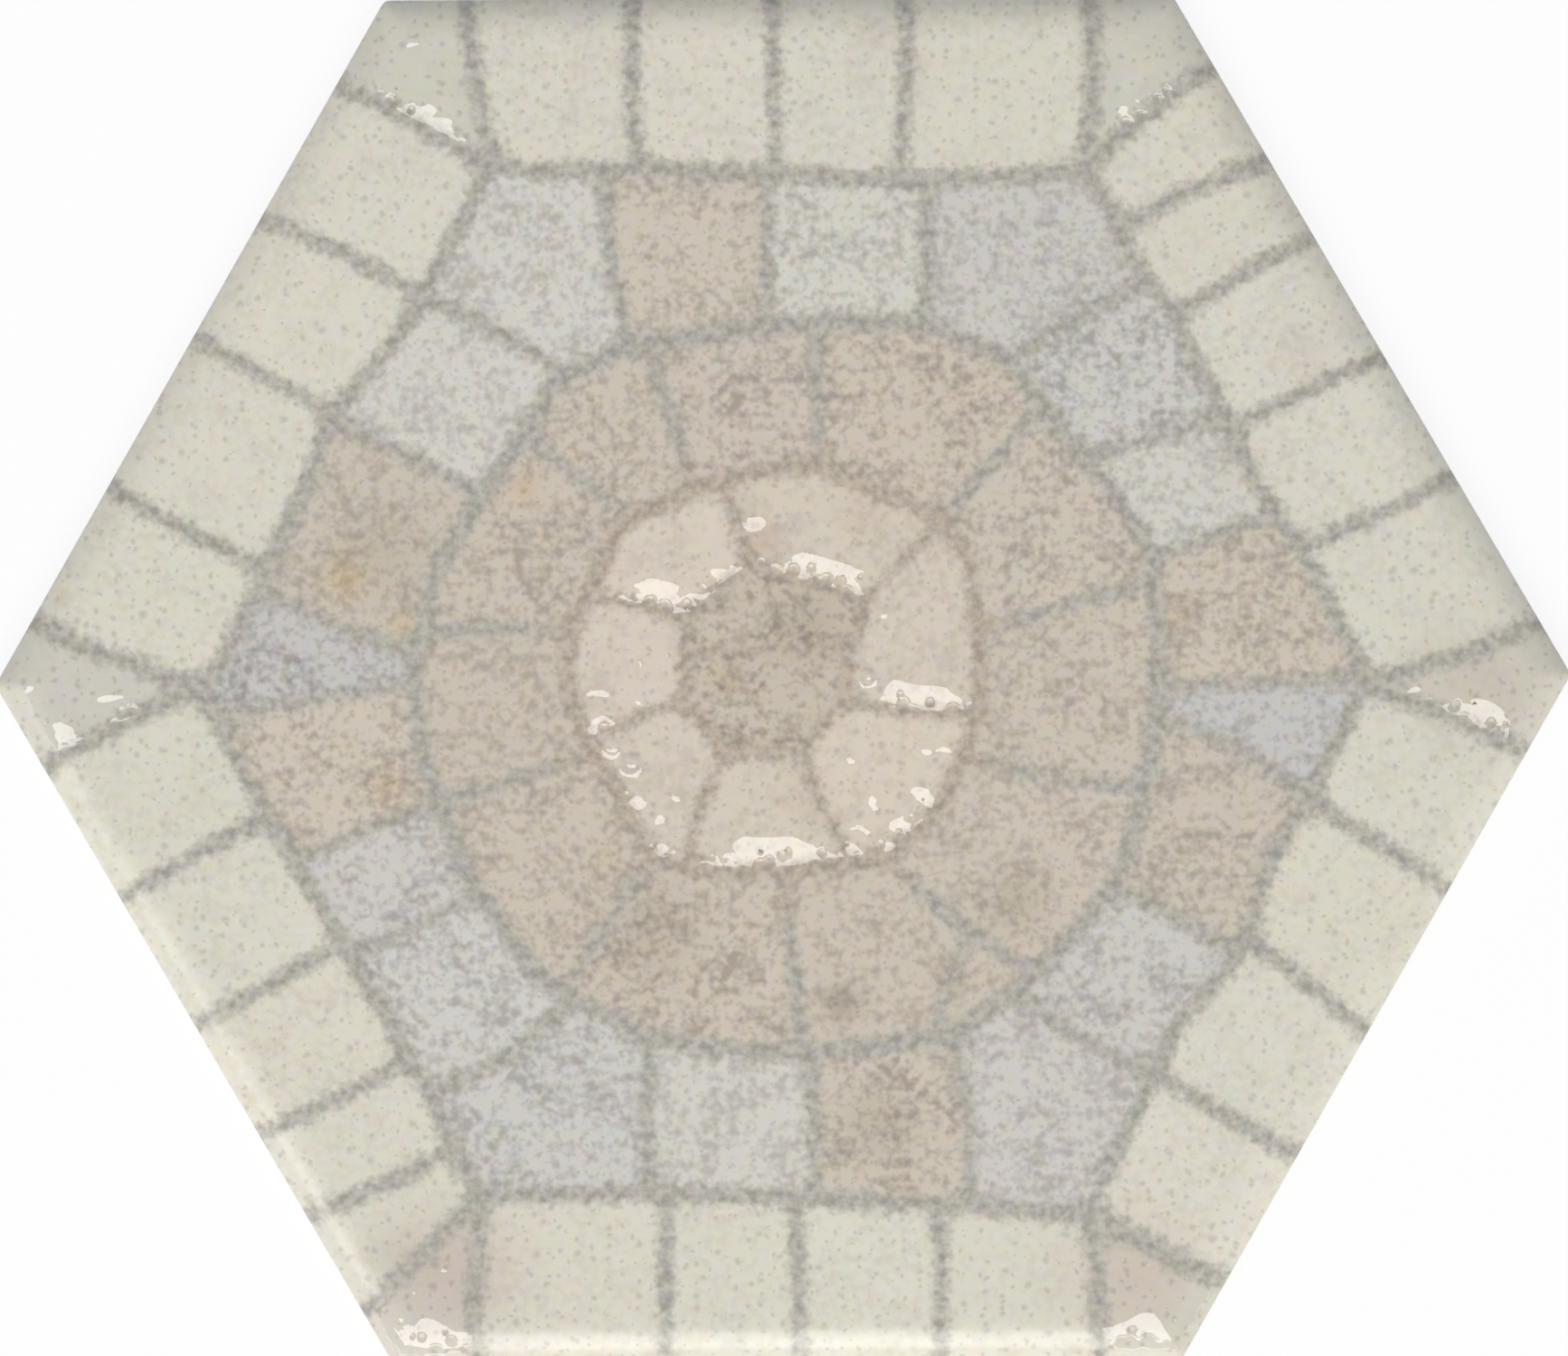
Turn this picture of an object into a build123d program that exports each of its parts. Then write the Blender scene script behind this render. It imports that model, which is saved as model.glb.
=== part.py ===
"""Hexagonal glazed wall tile: one dry-pressed, fired piece with a cushioned face,
clear glaze laid on thickly over some of its printed stones, and a ribbed back.

Millimetres. +Z points out of the glazed face, +X runs from corner to corner and the
origin is the middle of the back, so that the tile lies on its ribs at z = 0.
"""

import os
from math import asin, ceil, cos, degrees, radians, sin, sqrt, tan

from build123d import *

# The pressed body
across_flats = 200.0
thickness = 7.0  # from the ribs to the flat of the face, without the raised glaze
corner_radius = 1.2  # of the six upright corners, seen from above

# The section of an edge, from the back up to the face
press_taper_inset = 0.7  # the back is this much smaller all round, so the die lets go
press_taper_height = 2.4
nose_radius = 1.2  # where the glaze rolls over the edge
cushion_width = 5.5  # of the gentle roll-off round the face
cushion_radius = 10.0

# The ribs on the back that key into the adhesive
back_rim = 7.0  # plain margin round the ribs
groove_width = 5.0
rib_width = 3.0
groove_depth = 0.6

# The thick clear glaze, in pads that each follow one printed stone
pad_height = 1.2
pad_slope = 32.0  # of a pad's sides, in degrees
pad_crown_radius = 3.0  # where the sides roll over into the top
pad_corner_radius = 0.9  # of the flat top's corners
pad_gap = 2.4  # bare joint between two pads
pad_edge_margin = 0.6  # from the corner pads to the start of the cushion

# The ring of pads round the middle stones, and the directions of its joints in degrees
ring_centre = (-1.1, 1.9)
ring_outer_radius = 28.4
ring_inner_radius = 13.4
ring_joint_angles = (41, 106, 160, 201, 246, 292, 348)

# One pad in each corner, from the +X corner on, anticlockwise: how far its stone reaches
# along the edge before the corner, along the edge after it, and in towards the middle
corner_length_before = (12.9, 11.1, 13.4, 11.6, 8.1, 12.1)
corner_length_after = (9.0, 13.0, 13.9, 13.0, 13.4, 12.9)
corner_length_inward = (23.5, 26.3, 28.0, 26.2, 26.2, 24.0)

apothem = across_flats / 2
circumradius = across_flats / sqrt(3)


def hexagon(apothem):
    """A hexagon with a corner on +X."""
    return RegularPolygon(apothem, side_count=6, major_radius=False)


def edge_section():
    """The tile's section across its flats: tapered sides, a rounded nose and the cushion."""
    cushion_x = apothem - cushion_width
    cushion_z = thickness - cushion_radius
    nose_x = apothem - nose_radius
    nose_z = cushion_z + sqrt((cushion_radius - nose_radius) ** 2 - (nose_x - cushion_x) ** 2)
    # The nose and the cushion share a tangent at this slope
    slope = degrees(asin((nose_x - cushion_x) / (cushion_radius - nose_radius)))
    back_x = apothem - press_taper_inset

    half = [
        Line((0, 0), (back_x, 0)),
        Line((back_x, 0), (apothem, press_taper_height)),
        Line((apothem, press_taper_height), (apothem, nose_z)),
        CenterArc((nose_x, nose_z), nose_radius, 0, 90 - slope),
        CenterArc((cushion_x, cushion_z), cushion_radius, 90 - slope, slope),
        Line((cushion_x, thickness), (0, thickness)),
    ]
    return make_face(half + [edge.mirror(Plane.YZ) for edge in half])


def pressed_body():
    """What three bars of the edge section share when they cross at 60 degrees, with its corners eased."""
    bar = extrude(Plane.XZ * edge_section(), amount=2 * circumradius, both=True)
    body = Rot(0, 0, 30) * bar & Rot(0, 0, 90) * bar & Rot(0, 0, 150) * bar
    return fillet(body.edges().filter_by(Axis.Z), corner_radius)


def back_grooves():
    """The shallow grooves between the ribs, inside the plain rim."""
    pitch = groove_width + rib_width
    rows = ceil(apothem / pitch)
    bars = [
        Pos(0, row * pitch) * Rectangle(2 * circumradius, groove_width)
        for row in range(-rows, rows + 1)
    ]
    return extrude(hexagon(apothem - back_rim) & Sketch(bars), amount=groove_depth)


def ring_stones():
    """The stones of the middle ring, parted by radial joints."""
    ring = Circle(ring_outer_radius) - Circle(ring_inner_radius)
    joint = Pos(ring_outer_radius / 2, 0) * Rectangle(ring_outer_radius, pad_gap)
    for angle in ring_joint_angles:
        ring -= Rot(0, 0, angle) * joint
    return Pos(*ring_centre) * ring


def corner_kites():
    """The kite-shaped stone in each corner, less half a joint all round, on the flat of the face."""
    kites = []
    lengths = zip(corner_length_before, corner_length_after, corner_length_inward)
    for corner, (before, after, inward) in enumerate(lengths):
        kite = Polyline(
            (0, 0),
            (after * cos(radians(120)), after * sin(radians(120))),
            (-inward, 0),
            (before * cos(radians(120)), -before * sin(radians(120))),
            close=True,
        )
        stone = offset(make_face(kite), -pad_gap / 2, kind=Kind.INTERSECTION)
        kites.append(Rot(0, 0, 60 * corner) * Pos(circumradius, 0) * stone)
    return hexagon(apothem - cushion_width - pad_edge_margin) & Sketch(kites)


def glaze_pads(stones):
    """A pad of thick glaze on each stone: sloping sides that roll over into a flat top."""
    inset = pad_height / tan(radians(pad_slope))
    side_length = pad_height / sin(radians(pad_slope))
    crown_radius = min(pad_crown_radius, 0.8 * side_length / tan(radians(pad_slope / 2)))
    feet = fillet(stones.vertices(), inset + pad_corner_radius)
    tops = Pos(0, 0, pad_height) * offset(feet, -inset)
    pads = []
    for foot, top in zip(feet.faces(), tops.faces()):
        pad = loft([foot, top], ruled=True)
        rim = pad.faces().sort_by(Axis.Z)[-1].edges()
        pads.append(Pos(0, 0, thickness) * fillet(rim, crown_radius))
    return pads


tile = pressed_body() - back_grooves() + glaze_pads(ring_stones()) + glaze_pads(corner_kites())

os.makedirs("parts", exist_ok=True)
export_step(tile, "parts/hexagonal_tile.step")
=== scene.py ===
import bmesh
import bpy
import numpy as np
from mathutils import Euler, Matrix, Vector, noise


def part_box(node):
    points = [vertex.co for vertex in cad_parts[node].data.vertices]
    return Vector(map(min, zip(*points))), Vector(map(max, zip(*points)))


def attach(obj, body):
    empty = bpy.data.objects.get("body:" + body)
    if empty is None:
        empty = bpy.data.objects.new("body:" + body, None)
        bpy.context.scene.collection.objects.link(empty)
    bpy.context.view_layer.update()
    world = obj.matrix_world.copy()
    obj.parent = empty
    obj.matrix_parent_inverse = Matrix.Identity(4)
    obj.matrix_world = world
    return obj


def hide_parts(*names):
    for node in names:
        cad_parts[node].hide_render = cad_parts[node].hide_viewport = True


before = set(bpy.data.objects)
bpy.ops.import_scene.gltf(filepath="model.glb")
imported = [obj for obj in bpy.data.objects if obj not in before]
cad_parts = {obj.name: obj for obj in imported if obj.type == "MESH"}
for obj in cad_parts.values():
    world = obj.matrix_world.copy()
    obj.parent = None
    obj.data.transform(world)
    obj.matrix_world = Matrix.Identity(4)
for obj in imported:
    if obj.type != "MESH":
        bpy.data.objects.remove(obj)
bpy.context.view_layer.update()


# The pressed biscuit
# The body of the tile is buff wall-tile clay, dry-pressed in a steel die and fired. Its face has a
# cushioned edge, its sides taper to the back, and grooves between ribs there key into the adhesive.

MM = 0.001
lowest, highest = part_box("hexagonal_tile")
apothem = (highest.y - lowest.y) / 2 / MM
pad_height = 1.2  # of the thick glaze, which makes the tile that much higher than its face
face_z = highest.z / MM - pad_height

cushion_width = 6.7
cushion_fullness = 1.55  # more keeps the face level for longer
nose_radius = 1.2
nose_slope = np.radians(39)  # where the cushion ends and the nose starts
taper_inset = 0.7
taper_height = 2.4
back_chamfer = 0.35
corner_softness = 0.23  # gives upright corners of 1.2 mm radius
face_rings = 98
cushion_steps = 11
nose_steps = 5

back_rim = 7.0
groove_width = 5.0
rib_width = 3.0
groove_depth = 0.6
groove_draft = 0.2


def edge_section():
    """Reach and height of points from the middle of the face, over the edge, to the rim of the back."""
    nose_start = apothem - nose_radius * (1 - np.sin(nose_slope))
    part = np.linspace(0, 1, cushion_steps + 1)
    reach = apothem - cushion_width + part * (nose_start - apothem + cushion_width)
    fall = np.tan(nose_slope * part**cushion_fullness)
    drop = np.cumsum((fall[1:] + fall[:-1]) / 2 * np.diff(reach))
    turn = np.linspace(nose_slope, np.pi / 2, nose_steps + 1)[1:]
    nose_top = face_z - drop[-1]
    back = apothem - taper_inset
    points = [(0, face_z), (reach[0], face_z)]
    points += zip(reach[1:], face_z - drop)
    points += zip(
        apothem - nose_radius * (1 - np.sin(turn)),
        nose_top - nose_radius * (np.cos(nose_slope) - np.cos(turn)),
    )
    points += [
        (apothem, (points[-1][1] + taper_height) / 2),
        (apothem, taper_height),
        (back, back_chamfer),
        (back - back_chamfer, 0),
        (apothem - 0.6 * back_rim, 0),
        (apothem - 0.85 * back_rim, 0),
    ]
    return np.array(points)


def hexagon_ring(count, reach):
    """Points spaced evenly round a hexagon with a corner on +X, count of them to a side."""
    turn = np.radians(np.arange(0, 420, 60))
    corners = reach / np.cos(np.pi / 6) * np.column_stack((np.cos(turn), np.sin(turn)))
    share = np.arange(count)[:, None] / count
    return np.concatenate([a + (b - a) * share for a, b in zip(corners[:-1], corners[1:])])


def flat_skin(section_run):
    """The tile's whole skin spread out flat: rings of triangles, as far out as they run along the section."""
    skin = bmesh.new()
    inner = [skin.verts.new((0, 0, 0))]
    face_reach = section_run[1]
    reaches = list(face_reach * np.arange(1, face_rings + 1) / face_rings) + list(section_run[2:])
    for ring, reach in enumerate(reaches, 1):
        count = min(ring, face_rings)
        outer = [skin.verts.new((x, y, 0)) for x, y in hexagon_ring(count, reach)]
        before = len(inner) // 6
        for side in range(6):
            for i in range(count):
                here = outer[side * count + i]
                after = outer[(side * count + i + 1) % len(outer)]
                below = inner[(side * before + i) % len(inner)]
                skin.faces.new((here, after, below))
                if i < before:
                    below_after = inner[(side * before + i + 1) % len(inner)]
                    skin.faces.new((below, after, below_after))
        inner = outer
    return skin


def groove_outline(row):
    """One groove on the back, cut off at its ends by the plain rim."""
    middle = row * (groove_width + rib_width)
    levels = [middle - groove_width / 2, middle + groove_width / 2]
    if levels[0] < 0 < levels[1]:
        levels.insert(1, 0.0)
    ends = [((apothem - back_rim - abs(y) / 2) / np.cos(np.pi / 6), y) for y in levels]
    return ends + [(-x, y) for x, y in reversed(ends)]


def close_back(body):
    """Fills the back between its rim and the grooves, and gives the grooves their sides and floors."""
    fill = [edge for edge in body.edges if edge.is_boundary]
    rows = int((apothem - back_rim) / (groove_width + rib_width))
    for row in range(-rows, rows + 1):
        middle = row * (groove_width + rib_width)
        outline = groove_outline(row)
        rim = [body.verts.new((x, y, 0)) for x, y in outline]
        narrower = 1 - 2 * groove_draft / groove_width
        floor = [
            body.verts.new((x - np.copysign(groove_draft, x), middle + (y - middle) * narrower, groove_depth))
            for x, y in outline
        ]
        for i in range(len(outline)):
            j = (i + 1) % len(outline)
            fill.append(body.edges.new((rim[i], rim[j])))
            body.faces.new((rim[i], rim[j], floor[j], floor[i]))
        body.faces.new(floor)
    bmesh.ops.triangle_fill(body, use_beauty=True, edges=fill)
    bmesh.ops.triangulate(body, faces=body.faces)
    bmesh.ops.recalc_face_normals(body, faces=body.faces)


def colour(code):
    """Linear RGBA of an sRGB hex value."""
    share = np.array([int(code[i:i + 2], 16) for i in (1, 3, 5)]) / 255
    linear = np.where(share <= 0.04045, share / 12.92, ((share + 0.055) / 1.055) ** 2.4)
    return (*linear.tolist(), 1.0)


def add(tree, kind, inputs=None, **settings):
    """Adds a node with its settings, and sets its inputs or links them to other nodes' outputs."""
    node = tree.nodes.new("ShaderNode" + kind)
    for name, value in settings.items():
        setattr(node, name, value)
    for name, value in (inputs or {}).items():
        if isinstance(value, bpy.types.NodeSocket):
            tree.links.new(value, node.inputs[name])
        else:
            node.inputs[name].default_value = value
    return node


def new_material(name):
    """An empty node material, with its output and the surface's own millimetres to draw patterns by."""
    material = bpy.data.materials.new(name)
    material.use_nodes = True
    tree = material.node_tree
    tree.nodes.clear()
    output = add(tree, "OutputMaterial")
    place = add(tree, "TexCoord").outputs["Object"]
    in_mm = add(tree, "VectorMath", {0: place, "Scale": 1 / MM}, operation="SCALE").outputs["Vector"]
    return material, tree, output, in_mm


biscuit_colour = "#d6cab8"
biscuit_fleck = "#bfae98"


def biscuit_print(tree, in_mm):
    """The clay's colour: buff, clouded by the firing, with darker flecks of grog."""
    cloud = add(tree, "TexNoise", {"Vector": in_mm, "Scale": 1 / 22, "Detail": 3}).outputs["Fac"]
    grog = add(tree, "TexVoronoi", {"Vector": in_mm, "Scale": 1 / 1.3}).outputs["Distance"]
    fleck = add(tree, "MapRange", {"Value": grog, "From Min": 0.3, "From Max": 0.12, "To Max": 0.55})
    shade = add(tree, "MapRange", {"Value": cloud, "From Min": 0.3, "From Max": 0.7, "To Max": 0.45})
    amount = add(tree, "Math", {0: fleck.outputs["Result"], 1: shade.outputs["Result"]}, operation="MAXIMUM")
    return add(
        tree,
        "Mix",
        {"Factor": amount.outputs["Value"], "A": colour(biscuit_colour), "B": colour(biscuit_fleck)},
        data_type="RGBA",
    )


# Fired wall-tile clay, pressed and unglazed: dry and chalky, with a fine grain that kills every highlight
buff_biscuit, tree, output, in_mm = new_material("buff_biscuit")
clay = biscuit_print(tree, in_mm)
grain = add(tree, "TexNoise", {"Vector": in_mm, "Scale": 1 / 0.45, "Detail": 3}).outputs["Fac"]
relief = add(tree, "Bump", {"Height": grain, "Strength": 0.35, "Distance": 0.08 * MM})
surface = add(
    tree,
    "BsdfPrincipled",
    {"Base Color": clay.outputs[2], "Roughness": 0.9, "IOR": 1.5, "Normal": relief.outputs["Normal"]},
)
tree.links.new(surface.outputs["BSDF"], output.inputs["Surface"])


# The printed stones
# A paving rosette is printed under the glaze: square cream stones round the edge, grey and beige ones
# inside them, two rings of beige and rosy stones, and two stones in the middle, with mortar between.

# Lines that part the rows of stones, as points in mm from the middle of the tile
inner_hexagon = [
    (85.5, -0.5), (76.5, 18), (69, 29), (63.5, 41), (57.5, 53), (51.5, 61), (45.5, 74), (18.5, 73),
    (-0.5, 74), (-21.5, 75), (-35, 74.5), (-42.5, 75.5), (-45.5, 69), (-52.5, 56.5), (-57.5, 48.5),
    (-66, 39), (-69, 30), (-76, 16), (-78.5, 10), (-85, -1.5), (-74, -22), (-65.5, -36.5),
    (-58.5, -48.5), (-52, -60.5), (-45, -75), (-20, -75), (-2.5, -75.5), (12, -76.5), (24, -77),
    (44.5, -78.5), (47.5, -70.5), (54, -58), (57.5, -50.5), (67.5, -39.5), (71, -27), (78, -15.5),
]
big_circle = [
    (55, 1), (54.5, 17), (50, 25), (38, 40), (34, 46.5), (21, 52), (-2, 52), (-21.5, 49), (-33, 44.5),
    (-36.5, 38), (-43, 28.5), (-51, 15.5), (-54, 2), (-53, -10), (-47, -27.5), (-35.5, -44), (-20, -52),
    (-9, -54), (4, -54.5), (25.5, -52), (37.5, -42.5), (49, -29.5), (53.5, -13.5),
]
small_circle = [
    (29, -4), (27.5, 17.5), (22.5, 24), (4.5, 31.5), (-8.5, 29.5), (-23.5, 23), (-30.5, 8.5), (-31.5, 0.5),
    (-29.5, -7.5), (-23.5, -17), (-20.5, -25), (-14.5, -27.5), (-2.5, -28), (15.5, -26), (23, -18.5),
]
core_edge = [
    (12.5, 11.5), (3, 14.5), (-5, 17), (-14, 9.5), (-14.5, -3), (-8.5, -10.5), (2.5, -11), (9, -3), (10, 5),
]

# Joints across each row, as the directions in degrees of their outer and inner ends
border_joints = [
    (4, -0.5), (16.5, 14), (28, 29), (39.5, 42.5), (46.5, 53), (54.5, 59), (65.5, 59), (79.5, 76.5),
    (90.5, 90.5), (102, 105.5), (114.5, 119), (126.5, 119.5), (138, 133), (149.5, 149), (163.5, 167.5),
    (175, 180.5), (186.5, 180.5), (198, 194.5), (210, 210.5), (220.5, 225), (228, 234.5), (236, 239),
    (245.5, 239.5), (260, 257), (271, 271), (282.5, 286), (294.5, 299.5), (306, 299.5), (317, 313),
    (328.5, 330.5), (342, 346.5), (354, 359),
]
middle_joints = [
    (0, -1.5), (18.5, 17.5), (30, 35.5), (47, 54), (74, 68), (91.5, 92), (109, 114.5), (133, 125.5),
    (149.5, 148), (169.5, 175.5), (183.5, 180.5), (200, 199), (212, 215), (229, 236.5), (255, 249.5),
    (273, 274), (289, 295.5), (313, 306), (329, 327.5), (347, 354.5),
]
outer_ring_joints = [
    (14.5, 14), (46.5, 45), (84.5, 81), (111.5, 114.5), (136.5, 133.5), (172, 167), (199.5, 200.5),
    (234.5, 233.5), (272.5, 270.5), (310.5, 300), (343, 336),
]
inner_ring_joints = [
    (45, 43.5), (106.5, 106), (157, 147), (196.5, 191.5), (242, 231), (290.5, 283), (351, 340.5),
]
# Joints of their own: one cuts a small stone off the outer ring, and one parts the two in the middle
small_stone_joint = ((26.2, -38.2), (21.5, -51.8))
small_stone_half_width = 0.85
core_joint = ((-13.8, 4.1), (9.9, 4.5))
core_half_width = 0.8

# Each kind of stone: its colour and how much darker mottle is printed on it
stone_kinds = {
    "cream": ("#ddd8c8", 0.28),
    "corner": ("#d4cfc1", 0.12),
    "light grey": ("#d6d2c8", 0.85),
    "grey": ("#d1ccc4", 0.95),
    "lavender": ("#cac6c1", 1.0),
    "beige": ("#d0c5b5", 0.9),
    "rosy": ("#dcd0c0", 0.35),
    "core": ("#ccc0af", 1.15),
}
# The stone that follows each joint of the middle row, anticlockwise
middle_kinds = [
    "beige", "light grey", "grey", "grey", "light grey", "beige", "light grey", "light grey", "beige",
    "lavender", "beige", "grey", "grey", "grey", "light grey", "beige", "grey", "grey", "beige", "lavender",
]
mortar_colour = colour("#b9b4a9")
inner_mortar_colour = colour("#bfb2a2")  # browner, between the rosy stones
inner_mortar_reach = 37.0  # from the middle of the tile
inner_mortar_fade = 4.0

# How much the stones of one kind differ in lightness, in hue and in mottle
stone_lightness = 0.009
stone_hue = 0.006
stone_mottle = 0.15

# Iron stains and pale clouds in the print: middle, radius, colour and strength
stains = [
    ((-63.9, 15.3), 3.2, "#d2b483", 0.55),
    ((-55.3, 8.6), 2.2, "#d0b488", 0.45),
    ((-58.1, -15.3), 2.6, "#cdb08a", 0.5),
    ((-37.8, 28.5), 2.4, "#d0b088", 0.45),
    ((56.5, 9.2), 2.2, "#cfb48e", 0.4),
    ((-26.3, -26.2), 2.0, "#cfba98", 0.35),
    ((-19.7, -36.8), 7.5, "#a89a86", 0.35),
    ((8.2, -47.4), 2.6, "#97897a", 0.6),
    ((-57.9, 19.3), 7.0, "#b3a592", 0.35),
    ((13.4, -65.0), 5.5, "#aba08c", 0.4),
    ((33.6, -32.6), 5.0, "#a89c80", 0.4),
    ((24.2, -43.8), 2.2, "#a08d78", 0.45),
    ((76.7, 47.6), 5.0, "#cdbfb6", 0.4),
    ((67.7, 30.9), 4.0, "#d2c2b6", 0.35),
    ((14.5, 94.5), 2.6, "#cbb7ac", 0.4),
    ((19.8, 90.0), 2.8, "#d2beb3", 0.4),
    ((-57.0, -84.0), 4.5, "#b9b3a2", 0.35),
    ((-3.0, 20.5), 2.8, "#c4a595", 0.5),
    ((12.5, 25.0), 5.0, "#d0b9a9", 0.35),
    ((3.0, -18.0), 5.0, "#cdbaaa", 0.3),
    ((50.0, -87.0), 9.0, "#d2c1b3", 0.7),
    ((-49.0, -86.0), 9.0, "#ccbcb0", 0.8),
    ((101.0, -1.0), 9.0, "#cfc3b3", 0.6),
    ((-8.9, -2.9), 2.3, "#d3c8b8", 0.6),
    ((-7.5, -0.3), 2.4, "#b8a184", 0.45),
    ((-9.5, 7.3), 2.2, "#cfc4b4", 0.5),
    ((3.5, 8.0), 5.0, "#a39786", 0.35),
]

directions = np.radians(np.arange(0, 360, 0.25))


def row_line(points, ease):
    """Distance from the middle to a closed line in every direction, its corners eased over some degrees."""
    ring = np.array(points + points[:1], float)
    share = np.linspace(0, 1, 40, endpoint=False)[:, None]
    dense = np.concatenate([a + (b - a) * share for a, b in zip(ring[:-1], ring[1:])])
    bearing = np.arctan2(dense[:, 1], dense[:, 0]) % (2 * np.pi)
    order = np.argsort(bearing)
    radius = np.interp(directions, bearing[order], np.hypot(*dense[order].T), period=2 * np.pi)
    half = round(np.radians(ease) / directions[1] / 2) + 1
    window = np.hanning(2 * half + 1)
    padded = np.concatenate([radius[-half:], radius, radius[:half]])
    return np.convolve(padded, window / window.sum(), "valid")


def line_gap(points, joint, half_width):
    """Distance from the side of a straight joint."""
    start, end = np.array(joint)
    along = np.clip((points - start) @ (end - start) / np.sum((end - start) ** 2), 0, 1)
    return np.hypot(*(points - start - along[:, None] * (end - start)).T) - half_width


def soft_least(gaps, softness=0.7):
    """The least of several distances, rounded where two are about alike."""
    return -softness * np.log(sum(np.exp(-np.clip(gap, -5, 60) / softness) for gap in gaps))


# The lines round the rows and the joints across them, from the edge inwards, each with half its width
edge_line = apothem / np.cos(directions % (np.pi / 3) - np.pi / 6)
row_lines = [
    (edge_line, None),
    (row_line(inner_hexagon, 5), 1.2),
    (row_line(big_circle, 12), 1.35),
    (row_line(small_circle, 14), 1.2),
    (row_line(core_edge, 24), 0.9),
]
rows = [
    (border_joints, 1.05),
    (middle_joints, 0.95),
    (outer_ring_joints, 0.95),
    (inner_ring_joints, 0.75),
]
border_row, middle_row, outer_ring_row, inner_ring_row, core_row = range(len(row_lines))


def find_stones(points):
    """Each point's row, its stone in that row and its distance from the joints round that stone."""
    r = np.hypot(*points.T)
    bearing = np.arctan2(points[:, 1], points[:, 0]) % (2 * np.pi)
    radii = []
    tilts = []
    for line, _ in row_lines:
        slope = np.gradient(np.concatenate([line[-2:], line, line[:2]]), directions[1])[2:-2]
        radii.append(np.interp(bearing, directions, line, period=2 * np.pi))
        tilts.append(np.hypot(1, np.interp(bearing, directions, slope, period=2 * np.pi) / radii[-1]))
    row_of = sum((r <= radius).astype(int) for radius in radii[1:])
    stone_of = np.zeros(len(points), int)
    gap_of = (radii[-1] - r) / tilts[-1] - row_lines[-1][1]
    gap_of = soft_least([gap_of, line_gap(points, core_joint, core_half_width)], 0.5)
    for row, (joints, half_width) in enumerate(rows):
        here = row_of == row
        depth = radii[row][here] - radii[row + 1][here]
        inward = np.clip((radii[row][here] - r[here]) / depth, 0, 1)
        turned = []
        for outer_end, inner_end in joints:
            turned.append(bearing[here] - np.radians(outer_end + inward * (inner_end - outer_end)))
        turned = np.array(turned)
        leans = np.radians([inner - outer for outer, inner in joints])[:, None] / depth
        away = np.abs((turned + np.pi) % (2 * np.pi) - np.pi)
        nearest = np.sort(away / np.hypot(leans, 1 / r[here]), axis=0) - half_width
        gaps = [nearest[0], nearest[1]]
        for line in (row, row + 1):
            if row_lines[line][1] is not None:
                gaps.append(np.abs(radii[line] - r)[here] / tilts[line][here] - row_lines[line][1])
        if row == outer_ring_row:
            gaps.append(line_gap(points[here], small_stone_joint, small_stone_half_width))
        gap_of[here] = soft_least(gaps)
        stone_of[here] = np.argmin(turned % (2 * np.pi), axis=0)
    return row_of, stone_of, gap_of


def corner_stones():
    """Which stones of the border hold a corner of the tile."""
    outer_ends = np.array([outer for outer, inner in border_joints])
    return {int(np.argmin((corner - outer_ends) % 360)) for corner in range(0, 360, 60)}


def stone_colours(points, row_of, stone_of):
    """Each point's stone colour and mottle, with a shade of its own for every stone, and the stains."""
    shades = np.random.default_rng(5)
    corners = corner_stones()
    tints = np.zeros((len(points), 4))
    mottle = np.zeros(len(points))
    for row in range(core_row + 1):
        for stone in range(len(rows[row][0]) if row < core_row else 1):
            kind = ("cream", "beige", "beige", "rosy", "core")[row]
            if row == border_row and stone in corners:
                kind = "corner"
            if row == middle_row:
                kind = middle_kinds[stone]
            code, amount = stone_kinds[kind]
            here = (row_of == row) & (stone_of == stone)
            tints[here] = colour(code)
            tints[here, :3] *= 1 + shades.normal(0, stone_lightness) + shades.normal(0, stone_hue, 3)
            mottle[here] = amount * shades.uniform(1 - stone_mottle, 1 + stone_mottle)
    for middle, radius, code, strength in stains:
        away = np.hypot(*(points - middle).T) / radius
        share = (strength * np.exp(-(away**2)))[:, None]
        tints += share * (np.array(colour(code)) - tints)
    return tints, mottle


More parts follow.
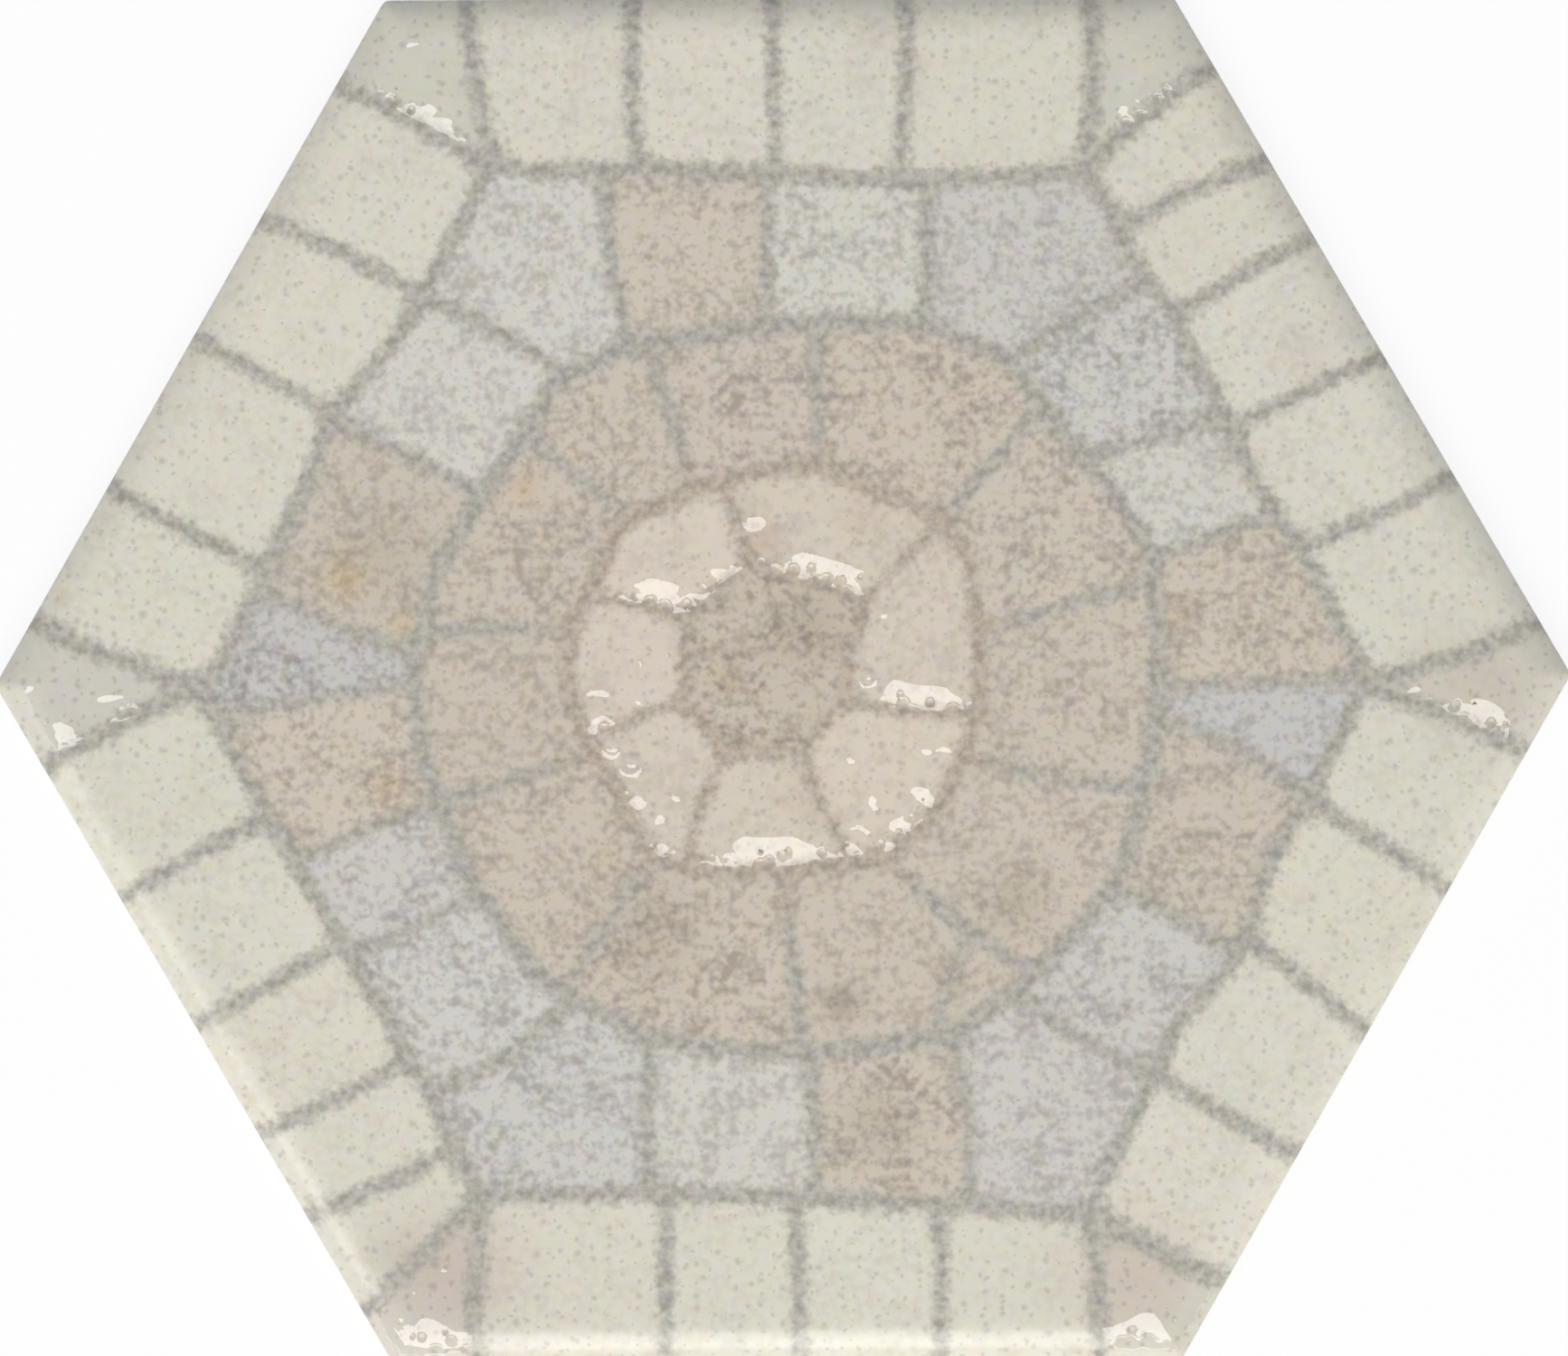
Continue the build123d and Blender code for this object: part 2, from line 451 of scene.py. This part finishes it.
def print_on(tree, in_mm):
    """The printed colour: stones with mottle and dots, and mortar with ragged edges between them."""
    stone = add(tree, "Attribute", attribute_name="stone").outputs["Color"]
    mortar = add(tree, "Attribute", attribute_name="mortar").outputs["Color"]
    gap = add(tree, "Attribute", attribute_name="joint_gap").outputs["Fac"]
    mottle = add(tree, "Attribute", attribute_name="mottle").outputs["Fac"]

    # Worm-like flecks about half a millimetre wide, gathered in blotches some five millimetres across
    worm = add(
        tree, "TexNoise", {"Vector": in_mm, "Scale": 1 / 1.4, "Detail": 1, "Distortion": 0.15}
    ).outputs["Fac"]
    blotch = add(tree, "TexNoise", {"Vector": in_mm, "Scale": 1 / 5, "Detail": 3}).outputs["Fac"]
    gathered = add(tree, "Math", {0: blotch, 1: 0.85, 2: worm}, operation="MULTIPLY_ADD").outputs["Value"]
    speckle = add(tree, "MapRange", {"Value": gathered, "From Min": 0.85, "From Max": 1.19, "To Max": 0.72})
    ink = add(tree, "Math", {0: speckle.outputs["Result"], 1: mottle}, operation="MULTIPLY").outputs["Value"]

    # Soft dots of the same ink, up to a millimetre across and a little out of round
    swirl = add(tree, "TexNoise", {"Vector": in_mm, "Scale": 1 / 1.4}).outputs["Color"]
    bent = add(
        tree, "VectorMath", {0: swirl, 1: (1.2, 1.2, 0.0), 2: in_mm}, operation="MULTIPLY_ADD"
    ).outputs["Vector"]
    for spacing, radius in ((3.0, 1.05), (2.3, 0.75)):
        cells = add(tree, "TexVoronoi", {"Vector": bent, "Scale": 1 / spacing}, voronoi_dimensions="2D")
        chance = add(tree, "SeparateColor", {0: cells.outputs["Color"]}).outputs["Red"]
        size = add(tree, "Math", {0: chance, 1: radius / spacing}, operation="MULTIPLY").outputs["Value"]
        dot = add(
            tree,
            "MapRange",
            {"Value": cells.outputs["Distance"], "From Min": size, "From Max": 0.0, "To Max": 0.46},
            interpolation_type="SMOOTHSTEP",
        ).outputs["Result"]
        ink = add(tree, "Math", {0: ink, 1: dot}, operation="MAXIMUM").outputs["Value"]
    inked = add(tree, "VectorMath", {0: stone, 1: (0.5, 0.49, 0.495)}, operation="MULTIPLY").outputs["Vector"]
    stones = add(tree, "Mix", {"Factor": ink, "A": stone, "B": inked}, data_type="RGBA").outputs[2]

    # Mortar, blotched with darker grit
    grit = add(tree, "TexNoise", {"Vector": in_mm, "Scale": 1 / 1.4, "Detail": 2}).outputs["Fac"]
    dark = add(
        tree, "MapRange", {"Value": grit, "From Min": 0.36, "From Max": 0.66, "To Min": 1.08, "To Max": 0.72}
    ).outputs["Result"]
    joints = add(tree, "VectorMath", {0: mortar, "Scale": dark}, operation="SCALE").outputs["Vector"]

    # The stones' edges are soft, frayed by the grit and unsteady along their length
    fray = add(tree, "TexNoise", {"Vector": in_mm, "Scale": 1 / 1.2, "Detail": 2}).outputs["Fac"]
    stray = add(tree, "TexNoise", {"Vector": in_mm, "Scale": 1 / 4, "Detail": 1}).outputs["Fac"]
    frayed = add(tree, "Math", {0: fray, 1: 2.8, 2: gap}, operation="MULTIPLY_ADD").outputs["Value"]
    frayed = add(tree, "Math", {0: stray, 1: 1.4, 2: frayed}, operation="MULTIPLY_ADD").outputs["Value"]
    on_stone = add(
        tree, "MapRange", {"Value": frayed, "From Min": 1.2, "From Max": 3.2}, interpolation_type="SMOOTHSTEP"
    ).outputs["Result"]
    laid = add(tree, "Mix", {"Factor": on_stone, "A": joints, "B": stones}, data_type="RGBA").outputs[2]

    # Small patches all over lean to cream, rose or lavender
    tone = add(tree, "TexNoise", {"Vector": in_mm, "Scale": 1 / 2.5, "Detail": 3}).outputs["Color"]
    tint = add(
        tree, "VectorMath", {0: tone, 1: (0.14, 0.1, 0.28), 2: (0.93, 0.95, 0.86)}, operation="MULTIPLY_ADD"
    ).outputs["Vector"]
    return add(tree, "VectorMath", {0: laid, 1: tint}, operation="MULTIPLY").outputs["Vector"]


# Satin wall-tile glaze over the print, melted level: a soft sheen that spreads over the cushioned edge.
# It stops in a ragged line part of the way down the sides, and bare clay shows below.
drip_length = 2.4
glaze_end = 4.7  # up the side from the back, where nothing dripped
glaze_lip = 0.2
printed_satin_glaze, tree, output, in_mm = new_material("printed_satin_glaze")
picture = print_on(tree, in_mm)
clay = biscuit_print(tree, in_mm).outputs[2]
height = add(tree, "SeparateXYZ", {0: in_mm}).outputs["Z"]
drip = add(tree, "TexNoise", {"Vector": in_mm, "Scale": 1 / 5, "Detail": 3}).outputs["Fac"]
drip_height = add(
    tree, "Math", {0: drip, 1: drip_length, 2: height}, operation="MULTIPLY_ADD"
).outputs["Value"]
glazed = add(
    tree,
    "MapRange",
    {"Value": drip_height, "From Min": glaze_end, "From Max": glaze_end + glaze_lip},
    interpolation_type="SMOOTHSTEP",
).outputs["Result"]
skin_colour = add(tree, "Mix", {"Factor": glazed, "A": clay, "B": picture}, data_type="RGBA").outputs[2]
satin = add(tree, "MapRange", {"Value": glazed, "To Min": 0.9, "To Max": 0.25}).outputs["Result"]
peel = add(tree, "TexNoise", {"Vector": in_mm, "Scale": 1 / 2.2, "Detail": 1}).outputs["Fac"]
relief = add(tree, "Bump", {"Height": peel, "Strength": 0.25, "Distance": 0.03 * MM})
surface = add(
    tree,
    "BsdfPrincipled",
    {
        "Base Color": skin_colour,
        "Roughness": satin,
        "IOR": 1.5,
        "Specular IOR Level": 0.45,
        "Normal": relief.outputs["Normal"],
    },
)
tree.links.new(surface.outputs["BSDF"], output.inputs["Surface"])


# The thick clear glaze
# A second, clear glaze is trailed on to the rosy ring and the corner stones and melts there into pads
# that stand proud of the face, with rolled sides and a foot that is nibbled where it drew back.

pad_spread = 0.3  # past the stone's printed edge
pool_spread = 0.6  # and further, where the glaze gathered
corner_margins = (3.6, 4.0, 4.0, 4.0, 3.4, 3.4)  # from a corner pad to the tile's edge, from the +X corner on
gentle_flank = 14.0  # how far a side reaches in before the top is level, where the glaze ran thin
bead_flank = 3.6  # and at scattered beads
crown_share = 0.35  # of that reach, where the side rolls over; it is straight below
bead_size = 2.8
full_pool = 8.0  # how much less a side reaches where the glaze has gathered fully
foot_waves = ((0.35, 3.5), (0.12, 1.2))  # the depth and length of the waves that make a foot uneven
foot_zone = (-1.5, 4.0)  # distances in from a foot between which it is uneven or nibbled
off_pad = -2.0  # the distance that stands for a stone without a pad
bite_spacing = 2.6
bite_radius = 1.3
bite_wall = 0.35
bite_fade = 0.45  # how fast a bite closes further in from the foot
film_fill = 0.8  # how far the glaze that ran on past two of the corner pads levels the cushion there
film_start = 4.2  # its distances from the tile's edge: where it leaves the pad, its lip and its end
film_lip = 1.7
film_end = 1.1

# Where the glaze gathered, on the ring and then in the corners: middle, radius and reach of its side there
pools = [
    ((-14.5, 12.5), 10.5, 6.0),
    ((-11.5, 13), 4.5, 4.6),
    ((-7.5, 16), 4.8, 4.2),
    ((6.5, 15.5), 9.5, 5.6),
    ((-4.4, 24.5), 2.6, 4.2),
    ((22, -1), 8.5, 5.2),
    ((12.3, 0.5), 1.5, 3.4),
    ((22.5, -15.5), 4.2, 3.3),
    ((18.5, -20.5), 3.2, 3.6),
    ((15.5, -24.3), 1.8, 3.8),
    ((9.5, -24.5), 2.2, 3.8),
    ((0, -25), 11.0, 6.3),
    ((-17.8, -24.5), 2.0, 3.8),
    ((-21.6, -17), 1.7, 3.8),
    ((-22.5, -12), 1.8, 3.8),
    ((-25.3, -9.5), 1.8, 3.8),
    ((-27, -5.5), 3.0, 4.2),
    ((-52, 83), 8.0, 4.6),
    ((52.4, 86.5), 8.0, 4.2),
    ((103, -6.5), 9.0, 5.0),
    ((53, -94.5), 8.5, 6.2),
    ((-49.2, -94.5), 8.5, 6.2),
    ((-106.3, -6.7), 4.8, 4.2),
    ((-95, -6), 3.8, 4.2),
]
jitter_cells = 128
bite_jitter = np.random.default_rng(11).uniform(-0.4, 0.4, (jitter_cells, jitter_cells, 2))

# One unit vector out of each of three sides of the hexagon; the other three are opposite
side_normals = np.array([(np.cos(turn), np.sin(turn)) for turn in np.radians((30, 90, 150))])


def wobble(points, size):
    """Soft noise at each point, about -1 to 1, with blotches of that size in mm."""
    return np.array([noise.noise((x / size, y / size, size)) for x, y in points])


def hexagon_reach(points):
    """How far out each point lies, measured square to the nearest side of the hexagon."""
    return np.abs(points @ side_normals.T).max(axis=1)


def eased(share):
    """A share from 0 to 1 that starts and ends gently."""
    return share * share * (3 - 2 * share)


def flank_reach(points):
    """How far in a pad's side reaches at each point: little in a pool or a bead, much where it ran thin."""
    beads = np.clip(1.8 * wobble(points, bead_size) - 0.45, 0, 0.7)
    reach = gentle_flank - (gentle_flank - bead_flank) * beads
    for middle, radius, flank in pools:
        share = np.exp(-((np.hypot(*(points - middle).T) / radius) ** 4))
        reach = np.minimum(reach, gentle_flank + share * (flank - gentle_flank))
    return reach


def bite_distance(points):
    """Distance from the nearest of the scattered spots that the glaze drew back from."""
    cell = np.floor(points / bite_spacing).astype(int)
    nearest = np.full(len(points), np.inf)
    for step in np.ndindex(3, 3):
        x, y = (cell + step - 1).T
        spot = np.column_stack((x, y)) + 0.5 + bite_jitter[x % jitter_cells, y % jitter_cells]
        nearest = np.minimum(nearest, np.hypot(*(points - spot * bite_spacing).T))
    return nearest


def on_corner_stone(row_of, stone_of):
    """Which points are on a stone in a corner of the tile."""
    return (row_of == border_row) & np.isin(stone_of, list(corner_stones()))


def foot_distance(points, row_of, stone_of, gap_of):
    """Which points are on stones with a pad, and their distance in from the printed foot of it."""
    corner = on_corner_stone(row_of, stone_of)
    bearing = np.degrees(np.arctan2(points[:, 1], points[:, 0]))
    nearest_corner = np.round(bearing / 60).astype(int) % 6
    margin = apothem - hexagon_reach(points) - np.array(corner_margins)[nearest_corner]
    return corner | (row_of == inner_ring_row), np.where(corner, soft_least([gap_of, margin]), gap_of)


def pad_distance(points, row_of, stone_of, gap_of):
    """Distance in from the foot of the pad at each point, whole and nibbled, below zero off the pads."""
    on_stone, printed = foot_distance(points, row_of, stone_of, gap_of)
    reach = np.full(len(points), gentle_flank)
    reach[on_stone] = flank_reach(points[on_stone])
    gathered = np.clip((gentle_flank - reach) / full_pool, 0, 1)
    whole = printed + pad_spread + pool_spread * gathered
    near = on_stone & (whole > foot_zone[0]) & (whole < foot_zone[1])
    uneven = sum(depth * wobble(points[near], length) for depth, length in foot_waves)
    whole[near] += uneven * np.clip(3 - whole[near], 0, 1)

    # Only the sides that face the near edge of the tile are nibbled, and the steep ones less
    step = 0.4
    ahead = points[near] + (0, step)
    facing = (foot_distance(ahead, *find_stones(ahead))[1] - printed[near]) / step
    bites = bite_radius * gathered * np.clip((reach - 2.6) / 3, 0.25, 1)
    bitten = bite_distance(points[near]) - bites[near] * np.clip(1.6 * facing - 0.3, 0, 1)
    nibbled = whole.copy()
    nibbled[near] = np.minimum(whole[near], bitten + bite_fade * np.maximum(whole[near], 0))
    return np.where(on_stone, whole, off_pad), np.where(on_stone, nibbled, off_pad)


def pad_rise(points, whole, nibbled):
    """How high the glaze stands at each point: straight sides, a rolled crown and a wall round each bite."""
    rise = np.zeros(len(points))
    on_pad = nibbled > 0
    inward = np.clip(whole[on_pad] / flank_reach(points[on_pad]), 0, 1)
    side = (inward - np.maximum(inward + crown_share - 1, 0) ** 2 / 2 / crown_share) / (1 - crown_share / 2)
    wall = np.clip(nibbled[on_pad] / bite_wall, 0, 1)
    rise[on_pad] = pad_height * side * eased(wall)
    return rise


def film_rise(points, row_of, stone_of, gap_of):
    """How high the glaze stands that ran on past the two near corner pads, up to a lip short of the edge."""
    film = np.zeros(len(points))
    near = on_corner_stone(row_of, stone_of) & (points[:, 1] < -0.8 * apothem)
    reach = hexagon_reach(points[near])
    cushion = edge_section()[:cushion_steps + 2].T
    fall = np.interp(apothem - film_start, *cushion) - np.interp(reach, *cushion)
    from_edge = apothem - reach + 0.5 * wobble(points[near], 1.8)
    lip = np.clip((from_edge - film_end) / (film_lip - film_end), 0, 1)
    clear_of_joint = np.clip(gap_of[near] / 0.8, 0, 1)
    film[near] = film_fill * np.maximum(fall, 0) * eased(lip) * clear_of_joint
    return film


# Clear glossy glaze: wet-looking, with hard white highlights where its sides roll over. The print lies
# under it on the level face, so the print takes its shading from the face and only the gloss from the pad.
thick_clear_glaze, tree, output, in_mm = new_material("thick_clear_glaze")
picture = print_on(tree, in_mm)
face_normal = add(tree, "Attribute", attribute_name="face_normal").outputs["Vector"]
under_glaze = add(
    tree, "VectorTransform", {0: face_normal}, vector_type="NORMAL", convert_from="OBJECT", convert_to="WORLD"
).outputs[0]
surface = add(
    tree,
    "BsdfPrincipled",
    {
        "Base Color": picture,
        "Roughness": 0.5,
        "IOR": 1.5,
        "Specular IOR Level": 0.0,
        "Normal": under_glaze,
        "Coat Weight": 1.0,
        "Coat Roughness": 0.04,
        "Coat IOR": 1.56,
    },
)
tree.links.new(surface.outputs["BSDF"], output.inputs["Surface"])


# The fired tile
# Clay, print and both glazes are one fired piece, so they are one closed skin over the whole tile.
# It is spread flat, refined where the glaze pads and corners need it, folded round the edge and closed.

corner_refinement = 2.5
easing_start = 15.0  # how far in from the edge the easing of the upright corners begins
easing_width = 10.0
bare_edge = 1.0  # the outermost part of the face, which no pad reaches

section = edge_section()
section_run = np.concatenate([[0], np.cumsum(np.hypot(*np.diff(section, axis=0).T))])
tile_body = flat_skin(section_run)


def flat_points(skin):
    """Where the skin's vertices lie while it is spread flat."""
    return np.array([vertex.co[:2] for vertex in skin.verts])


def refine(skin, wanted):
    """Halves the skin's edges where either end is wanted."""
    chosen = [edge for edge in skin.edges if wanted[edge.verts[0].index] or wanted[edge.verts[1].index]]
    bmesh.ops.subdivide_edges(skin, edges=chosen, cuts=1)
    bmesh.ops.triangulate(skin, faces=skin.faces)
    skin.verts.index_update()


# Twice over, halve the triangles along the pads' feet, in the pools and under the film
for pool_reach in (6.0, 2.6):
    tile_body.verts.index_update()
    spread = flat_points(tile_body)
    stones = find_stones(spread)
    whole, nibbled = pad_distance(spread, *stones)
    beside_pad = whole > -0.8
    on_foot = beside_pad & (whole < 1.0)
    in_pool = beside_pad & (whole < pool_reach) & (flank_reach(spread) < 0.8 * gentle_flank)
    refine(tile_body, on_foot | in_pool | (film_rise(spread, *stones) > 0))
spread = flat_points(tile_body)
leaning = np.sort(np.abs(spread @ side_normals.T), axis=1)
by_corner = leaning[:, 2] - leaning[:, 1] < corner_refinement
on_edge = leaning[:, 2] > apothem - cushion_width
refine(tile_body, by_corner & on_edge)

# Fold the flat skin along the edge section, and ease the six upright corners
spread = flat_points(tile_body)
run = hexagon_reach(spread)
reach = np.interp(run, section_run, section[:, 0])
folded = spread * (reach / np.maximum(run, 1e-9))[:, None]
past_side = np.abs(folded @ side_normals.T) - reach[:, None]
softened = corner_softness * np.log(np.exp(past_side / corner_softness).sum(axis=1))
easing = np.clip((run - apothem + easing_start) / easing_width, 0, 1) * softened / np.maximum(reach, 1)
folded *= (1 - easing)[:, None]
heights = np.interp(run, section_run, section[:, 1])

for vertex, (x, y), z in zip(tile_body.verts, folded, heights):
    vertex.co = (x, y, z)
tile_body.normal_update()
face_normals = np.array([vertex.normal for vertex in tile_body.verts])

# Raise the pads, then close the back
printed = find_stones(folded)
whole, nibbled = pad_distance(folded, *printed)
nibbled[run > apothem - bare_edge] = off_pad
film = film_rise(folded, *printed) * (run < apothem)
for vertex, rise in zip(tile_body.verts, pad_rise(folded, whole, nibbled) + film):
    vertex.co.z += rise
close_back(tile_body)

tile_mesh = bpy.data.meshes.new("fired_tile")
tile_body.to_mesh(tile_mesh)
tile_body.free()
tile_mesh.transform(((MM, 0, 0, 0), (0, MM, 0, 0), (0, 0, MM, 0), (0, 0, 0, 1)))

# Give each vertex the colours of its stone and its mortar, and its distance from the joints
places = np.zeros(len(tile_mesh.vertices) * 3)
tile_mesh.vertices.foreach_get("co", places)
places = places.reshape(-1, 3) / MM
seen_from_above = places[:, :2]
row_of, stone_of, gap_of = find_stones(seen_from_above + 1e-6)
tints, mottle = stone_colours(seen_from_above, row_of, stone_of)
inner_share = np.clip((inner_mortar_reach - np.hypot(*seen_from_above.T)) / inner_mortar_fade, 0, 1)[:, None]
mortars = np.array(mortar_colour) * (1 - inner_share) + np.array(inner_mortar_colour) * inner_share
for name, values in (("stone", tints), ("mortar", mortars)):
    tile_mesh.attributes.new(name, "FLOAT_COLOR", "POINT").data.foreach_set("color", values.ravel())
for name, values in (("joint_gap", gap_of), ("mottle", mottle)):
    tile_mesh.attributes.new(name, "FLOAT", "POINT").data.foreach_set("value", values)

normals = np.tile((0.0, 0.0, 1.0), (len(places), 1))
normals[:len(face_normals)] = face_normals
tile_mesh.attributes.new("face_normal", "FLOAT_VECTOR", "POINT").data.foreach_set("vector", normals.ravel())

# Clear glaze on the pads and the film, clay on the back and the foot of the sides, satin glaze elsewhere
for material in (printed_satin_glaze, thick_clear_glaze, buff_biscuit):
    tile_mesh.materials.append(material)
triangles = np.zeros(len(tile_mesh.polygons) * 3, int)
tile_mesh.polygons.foreach_get("vertices", triangles)
triangles = triangles.reshape(-1, 3)
on_pad = np.zeros(len(places), bool)
on_pad[:len(nibbled)] = (nibbled > 0) | (film > 0)
is_pad = on_pad[triangles].all(axis=1)
is_clay = places[triangles, 2].max(axis=1) < taper_height + 0.01
tile_mesh.polygons.foreach_set("material_index", np.where(is_clay, 2, np.where(is_pad, 1, 0)))
tile_mesh.polygons.foreach_set("use_smooth", np.ones(len(triangles), bool))
tile_mesh.set_sharp_from_angle(angle=np.radians(40))
tile_mesh.update()

glazed_tile = bpy.data.objects.new("glazed_tile", tile_mesh)
bpy.context.scene.collection.objects.link(glazed_tile)
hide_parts("hexagonal_tile")
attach(glazed_tile, "root")


# The studio
# The tile lies on a white floor under one wide lamp on the near side and a pale room.
# The camera looks straight down on it, turned a little as the photograph is.

floor_half = 4.0
floor_z = -0.2 * MM
floor_mesh = bpy.data.meshes.new("studio_floor")
floor_corners = [(x * floor_half, y * floor_half, floor_z) for x, y in ((-1, -1), (1, -1), (1, 1), (-1, 1))]
floor_mesh.from_pydata(floor_corners, [], [(0, 1, 2, 3)])
floor = bpy.data.objects.new("studio_floor", floor_mesh)
bpy.context.scene.collection.objects.link(floor)

# Matt white paper: it is seen as white, and darker only where the tile shades it
white_paper, tree, output, in_mm = new_material("white_paper")
matt = add(tree, "BsdfDiffuse", {"Color": colour("#f4f4f4")})
glow = add(tree, "Emission", {"Color": (1, 1, 1, 1), "Strength": 1.0})
rays = add(tree, "LightPath")
seen = rays.outputs["Is Camera Ray"]
for kind in ("Is Glossy Ray", "Is Transmission Ray"):
    seen = add(tree, "Math", {0: seen, 1: rays.outputs[kind]}, operation="MAXIMUM").outputs["Value"]
share = add(tree, "Math", {0: seen, 1: 0.88}, operation="MULTIPLY")
paper = add(tree, "MixShader", {0: share.outputs[0], 1: matt.outputs[0], 2: glow.outputs[0]})
tree.links.new(paper.outputs[0], output.inputs["Surface"])
floor_mesh.materials.append(white_paper)

# The pale room: white at the horizon, and dimmer and cooler overhead, where it is the fill light
room = bpy.data.worlds.new("pale_room")
room.use_nodes = True
tree = room.node_tree
tree.nodes.clear()
outward = add(tree, "TexCoord").outputs["Generated"]
upward = add(tree, "SeparateXYZ", {0: outward}).outputs["Z"]
overhead = add(
    tree, "MapRange", {"Value": upward, "From Min": 0.1, "From Max": 0.4}, interpolation_type="SMOOTHSTEP"
).outputs["Result"]
wall_light = (0.85, 0.87, 0.9, 1)
ceiling_light = (0.22, 0.24, 0.27, 1)
light = add(
    tree, "Mix", {"Factor": overhead, "A": wall_light, "B": ceiling_light}, data_type="RGBA"
).outputs[2]
walls = add(tree, "Background", {"Color": light, "Strength": 1.0})
add(tree, "OutputWorld", {"Surface": walls.outputs[0]})
bpy.context.scene.world = room

# The lamp: a long soft box, whose power follows from how bright its cloth is
lamp_distance = 6.0
lamp_lean = np.radians(37)  # from straight overhead
lamp_turn = np.radians(-9)  # from the near side towards the left
lamp_radiance = 5.45
lamp = bpy.data.lights.new("soft_box", "AREA")
lamp.shape = "ELLIPSE"
lamp.size = 8.6
lamp.size_y = 3.5
lamp.color = (1.0, 0.985, 0.965)
lamp.energy = lamp_radiance * np.pi * np.pi / 4 * lamp.size * lamp.size_y
lamp_object = bpy.data.objects.new("soft_box", lamp)
lamp_object.rotation_euler = Euler((lamp_lean, 0, lamp_turn))
lamp_object.location = lamp_object.rotation_euler.to_matrix() @ Vector((0, 0, lamp_distance))
bpy.context.scene.collection.objects.link(lamp_object)

# The camera: a long lens, so that the sides of the tile don't show
image_width = 229.3 * MM  # what the photograph's width spans on the face
image_offset = (0.13 * MM, 0.27 * MM)
image_turn = np.radians(-0.4)
camera = bpy.data.cameras.new("camera")
camera.sensor_width = 36
camera.lens = 200
camera_height = image_width * camera.lens / camera.sensor_width + face_z * MM
camera_object = bpy.data.objects.new("camera", camera)
camera_object.location = (*image_offset, camera_height)
camera_object.rotation_euler = Euler((0, 0, image_turn))
bpy.context.scene.collection.objects.link(camera_object)
bpy.context.scene.camera = camera_object
bpy.context.scene.view_settings.view_transform = "Standard"
